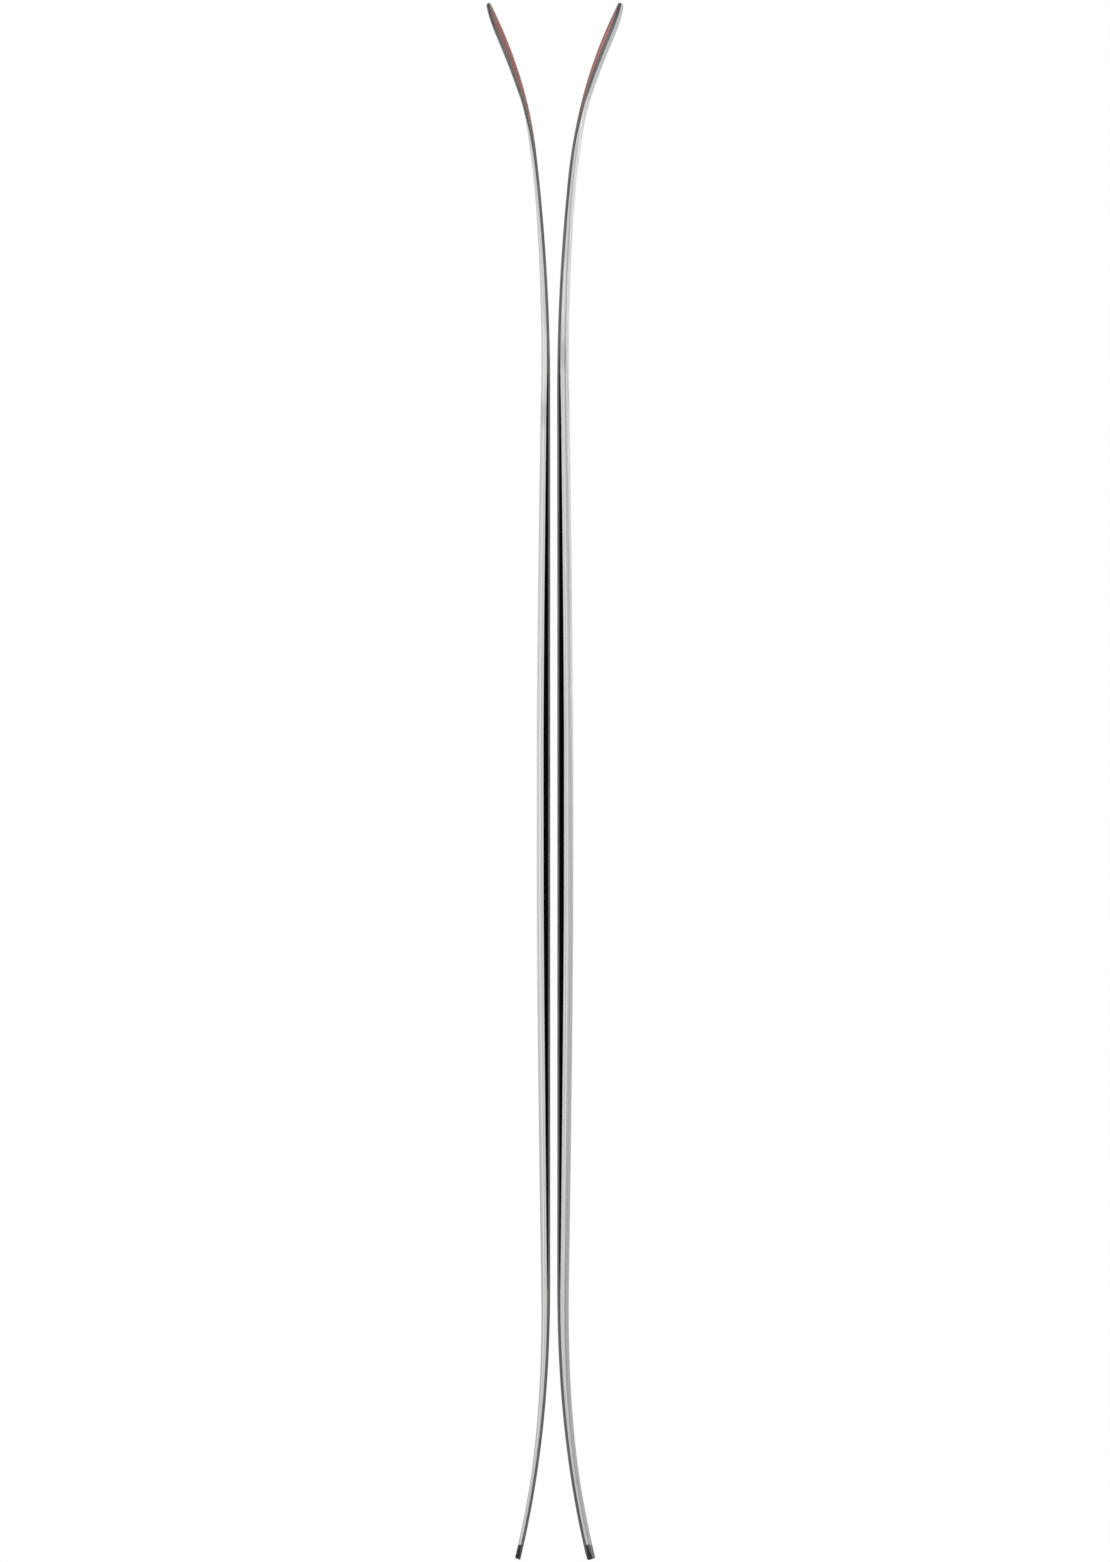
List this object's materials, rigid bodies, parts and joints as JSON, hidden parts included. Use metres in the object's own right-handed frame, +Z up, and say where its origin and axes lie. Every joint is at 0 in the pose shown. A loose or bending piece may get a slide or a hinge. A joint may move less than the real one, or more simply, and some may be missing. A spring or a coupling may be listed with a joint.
{
  "type": "cross country ski pair",
  "caption": "Touring cross country skis with steel edges and a capped sandwich build, standing base to base.",
  "frame": {"origin": "floor under the pair, midway between the two flat running bases and midway across the skis", "axes": "+Z up along the skis from tails to tips, +X from the left ski to the right ski, square to their bases, +Y across the skis, away from the viewer"},
  "size_m": [0.1582, 0.1014, 1.8],
  "materials": {
    "base_plastic": "sintered running base with a fine stone-ground structure",
    "damping_rubber": "thin rubber foil",
    "laminate": "glass fibre in resin",
    "dense_wood": "planed hardwood",
    "light_wood": "planed light wood",
    "mounting_plate": "plain sheet",
    "top_sheet": "satin pale grey cap",
    "spacer_plastic": "black moulded plastic",
    "protector_plastic": "dark grey grained plastic",
    "edge_steel": "ground steel, lightly oxidised",
    "sidewall_plastic": "black planed sidewall"
  },
  "bodies": {
    "root": {"left_base": "base_plastic", "left_damping_layer": "damping_rubber", "left_lower_laminate": "laminate", "left_core_centre": "dense_wood", "left_mounting_plate": "mounting_plate", "left_upper_laminate": "laminate", "left_top_sheet": "top_sheet", "left_tip_spacer": "spacer_plastic", "left_tail_spacer": "spacer_plastic", "left_tail_protector": "protector_plastic", "left_steel_edge_front": "edge_steel", "left_steel_edge_back": "edge_steel", "left_sidewall_front": "sidewall_plastic", "left_sidewall_back": "sidewall_plastic", "left_core_front": "light_wood", "left_core_back": "light_wood", "right_base": "base_plastic", "right_damping_layer": "damping_rubber", "right_lower_laminate": "laminate", "right_core_centre": "dense_wood", "right_mounting_plate": "mounting_plate", "right_upper_laminate": "laminate", "right_top_sheet": "top_sheet", "right_tip_spacer": "spacer_plastic", "right_tail_spacer": "spacer_plastic", "right_tail_protector": "protector_plastic", "right_steel_edge_front": "edge_steel", "right_steel_edge_back": "edge_steel", "right_sidewall_front": "sidewall_plastic", "right_sidewall_back": "sidewall_plastic", "right_core_front": "light_wood", "right_core_back": "light_wood"}
  },
  "joints": []
}
